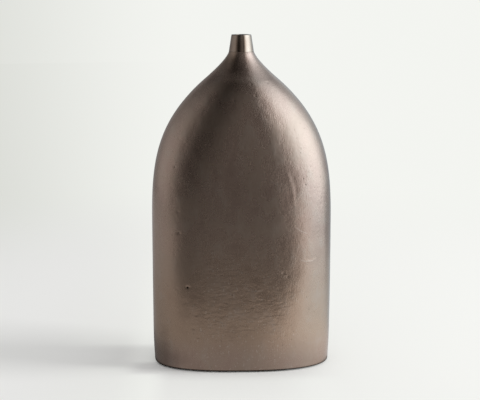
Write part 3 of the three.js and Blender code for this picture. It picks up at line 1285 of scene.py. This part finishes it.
    def _shape(self) -> bmesh.types.BMesh:
        """Build the whole body's wall with its uneven skin."""
        shape, skin = self._spun_wall()
        shape.normal_update()
        marks = self._marks(skin)
        for i, corner in enumerate(skin):
            height = corner.co.z
            foot = smoothstep(height, self.foot, self.foot + self.kept_foot)
            kept = foot * smoothstep(self.joint - height, 0.0, self.kept_neck)
            move = (self._wave(corner.co) + marks.get(i, 0.0)) * kept
            on_parting = corner.co.y == 0.0
            corner.co += corner.normal * move
            if on_parting:
                corner.co.y = 0.0
        return shape

    def build(self, finishes: Finishes) -> list[bpy.types.Object]:
        """Build the two castings.

        Args:
            finishes: The vase's materials.

        Returns:
            The front and the rear casting.
        """
        whole = self._shape()
        pieces = []
        for half in Half:
            node, side = half.value
            shape = whole.copy()
            bmesh.ops.bisect_plane(
                shape,
                geom=[*shape.verts, *shape.edges, *shape.faces],
                dist=MERGE_DISTANCE,
                plane_co=(0.0, 0.0, 0.0),
                plane_no=(0.0, -side, 0.0),
                clear_outer=True,
            )
            rims = [edge for edge in shape.edges if edge.is_boundary]
            for face in bmesh.ops.holes_fill(shape, edges=rims, sides=0)["faces"]:
                face.material_index = 1
                face.smooth = False
            bmesh.ops.recalc_face_normals(shape, faces=shape.faces)
            materials = (finishes.cast, finishes.raw)
            pieces.append(add_piece(f"{node}_casting", shape, materials, node))
        whole.free()
        return pieces


@dataclass
class Spout:
    """The turned spout: a tapered tube with a rounded lip, on a spigot for the throat's socket."""

    bore: float = 9.5 * MM
    spigot_radius: float = 12.2 * MM
    spigot_length: float = 12 * MM
    spigot_chamfer: float = 1 * MM
    joint_chamfer: float = 0.15 * MM
    rim_radius: float = 12.7 * MM
    lip_radius: float = 1.2 * MM
    bore_lip_radius: float = 0.8 * MM
    flank_start: float = 2 * MM
    flank_end: float = 3 * MM
    flank_steps: int = 8
    turns: int = 160
    lip_points: int = 9

    def build(self, finishes: Finishes) -> bpy.types.Object:
        """Build the spout.

        Args:
            finishes: The vase's materials.

        Returns:
            The spout's object.
        """
        low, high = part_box("neck_spout")
        foot_radius, foot, rim = high[0], low[2], high[2]
        joint = foot + self.spigot_length
        taper = (foot_radius - self.rim_radius) / (rim - joint)
        lip_start = Vector((self.rim_radius + taper * self.lip_radius, rim - self.lip_radius))
        chamfer = self.joint_chamfer
        rises = steps(self.flank_start, rim - joint - self.flank_end, self.flank_steps)
        outside = [
            Vector((self.bore, foot)),
            Vector((self.spigot_radius - self.spigot_chamfer, foot)),
            Vector((self.spigot_radius, foot + self.spigot_chamfer)),
            Vector((self.spigot_radius, joint)),
            Vector((foot_radius - chamfer, joint)),
            Vector((foot_radius - taper * chamfer, joint + chamfer)),
            *[Vector((foot_radius - taper * rise, joint + rise)) for rise in rises],
        ]
        lip_end = Vector((self.rim_radius - self.lip_radius, rim))
        bore_lip_start = Vector((self.bore + self.bore_lip_radius, rim))
        bore_lip_end = Vector((self.bore, rim - self.bore_lip_radius))
        profile = [
            *outside,
            *rounded(lip_start, Vector((self.rim_radius, rim)), lip_end, self.lip_points),
            *rounded(bore_lip_start, Vector((self.bore, rim)), bore_lip_end, self.lip_points),
        ]
        shape = bmesh.new()
        spin_round(shape, [shape.verts.new((point.x, 0.0, point.y)) for point in profile], self.turns)
        bmesh.ops.recalc_face_normals(shape, faces=shape.faces)
        smooth_faces(shape)
        return add_piece("spout", shape, (finishes.turned,), "neck_spout")


@dataclass
class BasePlate:
    """The plate that closes the foot, with its edges broken."""

    fullness: float = 2.5
    corners: int = 256
    edge_bevel: float = 0.4 * MM
    bevel_segments: int = 3

    def build(self, finishes: Finishes) -> bpy.types.Object:
        """Build the plate.

        Args:
            finishes: The vase's materials.

        Returns:
            The plate's object.
        """
        low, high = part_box("base_plate")
        half_width, half_depth = high[0], high[1]
        shape = bmesh.new()
        bmesh.ops.create_circle(shape, cap_ends=True, segments=self.corners, radius=half_width)
        for corner in shape.verts:
            flat = drawn_to_oval(corner.co, half_width, half_depth, self.fullness)
            corner.co = (flat.x, flat.y, low[2])
        raise_plate(shape, high[2] - low[2], self.edge_bevel, self.bevel_segments)
        smooth_faces(shape)
        return add_piece("foot_plate", shape, (finishes.raw,), "base_plate")


@dataclass
class FeltPads:
    """The four pads that the vase stands on."""

    corners: int = 96
    rings: int = 6
    edge_bevel: float = 0.5 * MM
    bevel_segments: int = 4
    fuzz: float = 0.12 * MM
    fuzz_size: float = 1.2 * MM
    fuzz_rim: Span = (0.8, 1.0)

    def build(self, finishes: Finishes) -> list[bpy.types.Object]:
        """Build the pads.

        Args:
            finishes: The vase's materials.

        Returns:
            The pads' objects.
        """
        nodes = sorted(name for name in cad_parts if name.startswith("felt_pad"))
        return [self._pad(node, finishes) for node in nodes]

    def _pad(self, node: str, finishes: Finishes) -> bpy.types.Object:
        """Build one pad: a disc with worn edges and a fuzzy rim.

        Args:
            node: The pad's solid.
            finishes: The vase's materials.

        Returns:
            The pad's object.
        """
        low, high = (Vector(corner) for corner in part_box(node))
        middle = (low + high) / 2
        radius = (high.x - low.x) / 2
        shape = bmesh.new()
        bmesh.ops.create_circle(shape, cap_ends=True, segments=self.corners, radius=radius)
        ring = radius / (self.rings + 2)
        for _ in range(self.rings):
            middle_face = [face for face in shape.faces if len(face.verts) == self.corners]
            bmesh.ops.inset_region(shape, faces=middle_face, thickness=ring)
        raise_plate(shape, high.z - low.z, self.edge_bevel, self.bevel_segments)
        for corner in shape.verts:
            out = corner.co.xy.length / radius
            rough = noise.noise((corner.co + middle) / self.fuzz_size) - 1.0
            corner.co.xy *= 1.0 + rough * self.fuzz / radius * smoothstep(out, *self.fuzz_rim)
        bmesh.ops.translate(shape, verts=shape.verts, vec=(middle.x, middle.y, low.z))
        smooth_faces(shape)
        return add_piece(f"{node}_disc", shape, (finishes.felt,), node)


def place_round(distance: float, turn: float, height: float) -> Vector:
    """Find a place round the vase.

    Args:
        distance: How far it lies from the vase's axis.
        turn: How far it lies round to the right of the vase's front, in radians.
        height: Its height.

    Returns:
        The place.
    """
    return Vector((distance * math.sin(turn), -distance * math.cos(turn), height))


@dataclass(frozen=True)
class Tints:
    """The backdrop's colours and the tints of the light that the metal mirrors.

    Turns here and in the floor's image are radians round the vase, to the right of its front.
    """

    # The backdrop is painted darker to the left: painted shade away from the window.
    backdrop_left: Colour = (0.68, 0.69, 0.65, 1.0)
    backdrop_right: Colour = (0.9, 0.91, 0.875, 1.0)
    backdrop_slopes: Span = (-0.3, 0.0)
    plain: Colour = (1.0, 1.0, 1.0, 1.0)
    left: Colour = (0.95, 1.0, 1.05, 1.0)
    left_turns: Span = (0.8, 1.6)
    window: Colour = (0.845, 1.0, 1.12, 1.0)
    window_turns: Span = (0.45, 0.95)

    def mirrored(self, graph: Graph, turn: Value, share: Value | float = 1.0) -> bpy.types.NodeSocket:
        """Give the mirrored light's tint, which is cool on the window's side and a little so on the left.

        Args:
            graph: The floor's or the world's graph.
            turn: How far round a place or a direction lies.
            share: How much of the window's tint is laid on.

        Returns:
            The colour's socket.
        """
        left = graph.mix((0.0 - turn).between(*self.left_turns), self.plain, self.left)
        return graph.mix(turn.between(*self.window_turns) * share, left, self.window)

    def backdrop(self, graph: Graph, across: Value, away: Value) -> bpy.types.NodeSocket:
        """Give the backdrop's colour, which gets darker to the left with painted shade.

        Args:
            graph: The floor's or the world's graph.
            across: How far to the right a place or a direction lies.
            away: How far off it lies.

        Returns:
            The colour's socket.
        """
        share = (across / away).between(*self.backdrop_slopes)
        return graph.mix(share, self.backdrop_left, self.backdrop_right)


@dataclass(frozen=True)
class FloorShade:
    """How much of the floor that the camera sees is the backdrop's light.

    It is all of it far off, so that the floor has no end. Near the foot some of it lightens the shade: to the
    right, in front, and to the left but for the shadow's line and the foot's corner.
    """

    far: Span = (0.45, 1.3)
    right_share: float = 0.6
    right: Span = (0.03, 0.16)
    front_share: float = 0.4
    front: Span = (0.06, 0.09)
    front_half_squared: Span = (0.006, 0.02)
    left_share: float = 0.42
    left: Band = (0.09, 0.125, 0.15, 0.3)
    near_left_share: float = 0.33
    near_left: Span = (0.13, 0.17)
    shadow_y: float = 0.01
    shadow_half_squared: Span = (0.0005, 0.003)
    corner_y: float = -0.037
    corner_half_squared: Span = (0.0001, 0.0008)

    def share(self, across: Value, behind: Value, distance: Value) -> Value:
        """Give the share of the backdrop's light at a place.

        Args:
            across: How far to the right the place lies.
            behind: How far behind the vase's middle it lies.
            distance: How far from the vase's axis it lies.

        Returns:
            The share, from 0 to 1.
        """
        aside = 0.0 - across
        near = aside.fading(*self.near_left)
        shadow = (behind - self.shadow_y).squared()
        corner = (behind - self.corner_y).squared()
        left = shadow.between(*self.shadow_half_squared) * self.left_share + near * self.near_left_share
        left = left * (1.0 - near * corner.fading(*self.corner_half_squared)) * aside.band(*self.left)
        front = (0.0 - behind).between(*self.front) * across.squared().fading(*self.front_half_squared)
        near_foot = across.between(*self.right) * self.right_share + left + front * self.front_share
        return near_foot + distance.between(*self.far) * (1.0 - near_foot)


@dataclass(frozen=True)
class FloorImage:
    """The dim image of the floor that the metal mirrors.

    It is bright on the right and dim on the left, with a dark front, a shade to the left of the foot and a
    dark line where the foot stands. The lobe is a swelling of the dark front's right edge, and the glow is a
    faint light inside it.
    """

    left_level: float = 0.335
    right_level: float = 1.02
    right: Span = (-0.01, 0.21)
    rear: Span = (-0.05, 0.15)
    rear_dimming: float = 0.3
    far_rear: Span = (0.5, 0.9)
    far_rear_dimming: float = 0.2
    far_right: Span = (0.6, 1.0)
    far_right_turns: Span = (0.85, 1.2)
    far_right_rise: float = 0.25
    far_left_rises: tuple[tuple[float, Span], ...] = (
        (0.17, (0.4, 0.6)),
        (0.15, (0.8, 1.15)),
        (-0.45, (1.3, 1.9)),
    )
    front_level: float = 0.1
    front_left_turns: Span = (-0.89, -0.52)
    front_right_turns: Span = (0.3, 0.7)
    front_start: Span = (0.26, 0.42)
    front_draw: float = 0.07
    front_draw_right: Span = (0.0, 0.15)
    lobe_turn: float = 0.1
    lobe: Band = (0.48, 0.64, 0.78, 0.92)
    glow_level: float = 0.06
    glow_turns: Band = (-0.45, -0.15, 0.2, 0.5)
    glow: Band = (0.32, 0.5, 0.7, 1.1)
    shade: float = 0.5
    shade_left: Band = (0.075, 0.12, 0.14, 0.25)
    shade_y: float = 0.02
    shade_half_squared: Span = (0.003, 0.012)
    foot_half_width: float = 116 * MM
    foot_half_depth: float = 57.6 * MM
    foot_fullness: float = 2.5
    foot_line: Span = (1.0, 1.3)
    foot_dimming: float = 0.9
    tint: Span = (0.12, 0.3)
    tint_at_foot: float = 0.25

    def strength(self, across: Value, behind: Value, distance: Value, turn: Value) -> Value:
        """Give the image's light at a place.

        Args:
            across: How far to the right the place lies.
            behind: How far behind the vase's middle it lies.
            distance: How far from the vase's axis it lies.
            turn: How far round the vase it lies.

        Returns:
            The light's strength.
        """
        right = across.between(*self.right)
        level = right * (self.right_level - self.left_level) + self.left_level
        dimming = distance.between(*self.far_rear) * self.far_rear_dimming + self.rear_dimming
        rear = 1.0 - right * behind.between(*self.rear) * dimming
        far_left = sum(distance.between(*span) * rise for rise, span in self.far_left_rises)
        far_right = right * distance.between(*self.far_right) * turn.fading(*self.far_right_turns)
        farther = 1.0 + far_right * self.far_right_rise + (1.0 - right) * far_left
        front = self._front(across, distance, turn)
        glow = turn.band(*self.glow_turns) * distance.band(*self.glow)
        light = level * (1.0 - front) * rear * farther + front * self.front_level + glow * self.glow_level
        return light * self._unshaded(across, behind)

    def _front(self, across: Value, distance: Value, turn: Value) -> Value:
        """Give the share of the dark front at a place.

        Args:
            across: How far to the right the place lies.
            distance: How far from the vase's axis it lies.
            turn: How far round the vase it lies.

        Returns:
            The share, from 0 to 1.
        """
        drawn = distance + across.between(*self.front_draw_right) * self.front_draw
        lobe = distance.band(*self.lobe) * self.lobe_turn
        sides = turn.between(*self.front_left_turns) * (turn - lobe).fading(*self.front_right_turns)
        return sides * drawn.between(*self.front_start)

    def _unshaded(self, across: Value, behind: Value) -> Value:
        """Give the share of light that the shade beside the foot and the line under it leave.

        Args:
            across: How far to the right the place lies.
            behind: How far behind the vase's middle it lies.

        Returns:
            The share, from 0 to 1.
        """
        shade = (0.0 - across).band(*self.shade_left) * self.shade
        shade = shade * (behind - self.shade_y).squared().fading(*self.shade_half_squared)
        wide = (across.squared() / self.foot_half_width**2) ** (self.foot_fullness / 2)
        deep = (behind.squared() / self.foot_half_depth**2) ** (self.foot_fullness / 2)
        clear = (wide + deep).between(*self.foot_line) * self.foot_dimming + (1.0 - self.foot_dimming)
        return (1.0 - shade) * clear

    def tint_share(self, distance: Value) -> Value:
        """Give how much of the window's tint is laid on the image at a distance from the vase's axis."""
        return distance.between(*self.tint) * (1.0 - self.tint_at_foot) + self.tint_at_foot


@dataclass
class Floor:
    """The pale floor, which the camera sees fade into the backdrop and the metal mirrors dimly."""

    tints: Tints
    shade: FloorShade = FloorShade()
    image: FloorImage = FloorImage()
    radius: float = 6.0
    corners: int = 96
    colour: Colour = (0.85, 0.85, 0.835, 1.0)
    backdrop_fan: float = 1.35

    def build(self) -> None:
        """Lay the floor."""
        shape = bmesh.new()
        bmesh.ops.create_circle(shape, cap_ends=True, segments=self.corners, radius=self.radius)
        floor = new_object("floor", shape, (self._material(),))

    def _material(self) -> bpy.types.Material:
        """Build the floor's material."""
        material = bpy.data.materials.new("pale_floor")
        material.use_nodes = True
        graph = Graph(material.node_tree)
        across, behind, _ = graph.axes()
        distance = across.distance_with(behind)
        turn = across.turned_from(0.0 - behind)
        paper = graph.add("ShaderNodeBsdfDiffuse", sockets={"Color": self.colour})
        backdrop = self.tints.backdrop(graph, across, behind.size() + self.backdrop_fan)
        far = graph.add("ShaderNodeEmission", sockets={"Color": backdrop})
        share = self.shade.share(across, behind, distance)
        seen = graph.add("ShaderNodeMixShader", sockets={0: share, 1: paper.outputs[0], 2: far.outputs[0]})
        tint = self.tints.mirrored(graph, turn, self.image.tint_share(distance))
        strength = self.image.strength(across, behind, distance, turn)
        mirrored = graph.add("ShaderNodeEmission", sockets={"Color": tint, "Strength": strength})
        surface = graph.shown_to("Is Glossy Ray", mirrored, seen)
        graph.add("ShaderNodeOutputMaterial", sockets={"Surface": surface.outputs[0]})
        return material


@dataclass
class Room:
    """The room round the floor.

    The camera sees the backdrop, the metal a dim room with a wide window on the right, and the rest gets even
    light. The dim room's light is given round the vase, by degrees to the right of its front, times a share
    that falls with the degrees above level, one for the left and one for the right.
    """

    tints: Tints
    light: Curve = (
        (-180.0, 0.3), (-165.0, 0.29), (-155.0, 0.33), (-145.0, 0.36), (-135.0, 0.36), (-125.0, 0.35),
        (-105.0, 0.5), (-85.0, 0.56), (-65.0, 0.52), (-55.0, 0.32), (-45.0, 0.14), (-35.0, 0.03),
        (-20.0, 0.03), (-5.0, 0.13), (8.0, 0.17), (22.0, 0.08), (30.0, 0.25), (36.0, 0.8),
        (45.0, 1.65), (55.0, 2.15), (65.0, 2.35), (75.0, 2.4), (90.0, 2.1), (103.0, 1.45),
        (115.0, 0.95), (128.0, 0.72), (150.0, 0.75), (165.0, 0.65), (180.0, 0.5),
    )
    light_peak: float = 2.5
    left_fall: Curve = (
        (0.0, 0.78), (12.0, 0.76), (18.0, 0.72), (26.0, 0.6),
        (35.0, 0.37), (45.0, 0.22), (60.0, 0.07), (90.0, 0.03),
    )
    right_fall: Curve = (
        (0.0, 0.72), (11.0, 0.76), (18.0, 0.95), (26.0, 0.88),
        (35.0, 0.72), (45.0, 0.5), (60.0, 0.28), (90.0, 0.04),
    )
    fall_peak: float = 1.2
    right_turns: Span = (-0.1, 0.4)
    overhead: float = 0.08
    overhead_heights: Span = (0.8, 1.0)
    even: float = 0.76
    even_colour: Colour = (1.0, 1.0, 1.0, 1.0)
    backdrop_fan: float = 0.05

    def build(self) -> None:
        """Give the scene its world."""
        world = bpy.data.worlds.new("studio")
        bpy.context.scene.world = world
        world.use_nodes = True
        graph = Graph(world.node_tree)
        across, behind, up = graph.axes(graph.add("ShaderNodeTexCoord").outputs["Generated"])
        turn = across.turned_from(0.0 - behind)
        strength = self._strength(graph, turn, across.distance_with(behind), up)
        tint = self.tints.mirrored(graph, turn)
        backdrop = self.tints.backdrop(graph, across, behind.size() + self.backdrop_fan)
        mirrored = graph.add("ShaderNodeBackground", sockets={"Color": tint, "Strength": strength})
        even = graph.add("ShaderNodeBackground", sockets={"Color": self.even_colour, "Strength": self.even})
        seen = graph.add("ShaderNodeBackground", sockets={"Color": backdrop})
        unseen = graph.shown_to("Is Glossy Ray", mirrored, even)
        shown = graph.shown_to("Is Camera Ray", seen, unseen)
        graph.add("ShaderNodeOutputWorld", sockets={"Surface": shown.outputs[0]})

    def _strength(self, graph: Graph, turn: Value, level: Value, up: Value) -> Value:
        """Give the dim room's light in a direction.

        Args:
            graph: The world's graph.
            turn: How far round the vase the direction lies.
            level: Its level part.
            up: Its upward part.

        Returns:
            The light's strength.
        """
        points = [(angle / 360.0 + 0.5, light / self.light_peak) for angle, light in self.light]
        light = graph.profile(turn / (2.0 * math.pi) + 0.5, points) * self.light_peak
        height = up.turned_from(level) / (math.pi / 2.0)
        left, right = (
            graph.profile(height, [(angle / 90.0, share) for angle, share in fall])
            for fall in (self.left_fall, self.right_fall)
        )
        fall = (left + (right - left) * turn.between(*self.right_turns)) * self.fall_peak
        return light * fall + up.between(*self.overhead_heights) * self.overhead


@dataclass
class Lamp:
    """The window light's lamp on the right, which lights the floor and throws the soft shadow."""

    turn: float = math.radians(83)
    height: float = 1.35
    distance: float = 2.3
    aim_height: float = 0.2
    size_across: float = 0.8
    size_up: float = 1.1
    radiance: float = 13.8

    def build(self) -> None:
        """Stand the lamp up, out of the camera's and the metal's sight."""
        light = bpy.data.lights.new("window", "AREA")
        light.shape = "RECTANGLE"
        light.size = self.size_across
        light.size_y = self.size_up
        light.energy = math.pi * self.size_across * self.size_up * self.radiance
        lamp = bpy.data.objects.new("window", light)
        bpy.context.scene.collection.objects.link(lamp)
        lamp.location = place_round(self.distance, self.turn, self.height)
        aim = Vector((0.0, 0.0, self.aim_height)) - lamp.location
        lamp.rotation_euler = aim.to_track_quat("-Z", "Y").to_euler()
        lamp.visible_camera = False
        lamp.visible_glossy = False


@dataclass
class Camera:
    """The camera, where the photograph was taken from."""

    distance: float = 1.350
    height: float = 0.487
    turn: float = math.radians(-1.8)
    pitch: float = math.radians(11.3)
    pan: float = math.radians(0.074)
    lens: float = 78.72
    sensor: float = 36.0

    def build(self) -> None:
        """Place the camera, and make it the scene's."""
        data = bpy.data.cameras.new("camera")
        data.lens = self.lens
        data.sensor_width = self.sensor
        camera = bpy.data.objects.new("camera", data)
        bpy.context.scene.collection.objects.link(camera)
        camera.location = place_round(self.distance, self.turn, self.height)
        camera.rotation_euler = (math.pi / 2 - self.pitch, 0.0, self.pan + self.turn)
        bpy.context.scene.camera = camera


@dataclass
class Studio:
    """The plain set: a pale floor, a dim room with a wide soft window light on the right, and the camera."""

    tints: Tints = Tints()

    def build(self) -> None:
        """Set up the floor, the room, the lamp and the camera, with colours shown as they are."""
        bpy.context.scene.view_settings.view_transform = "Standard"
        Floor(self.tints).build()
        Room(self.tints).build()
        Lamp().build()
        Camera().build()


def main() -> None:
    """Build the studio and the vase's pieces in order."""
    logging.basicConfig(level=logging.INFO, format="%(name)s: %(message)s")
    Studio().build()
    finishes = Finishes()
    CastBody().build(finishes)
    Spout().build(finishes)
    BasePlate().build(finishes)
    FeltPads().build(finishes)


if __name__ == "__main__":
    main()
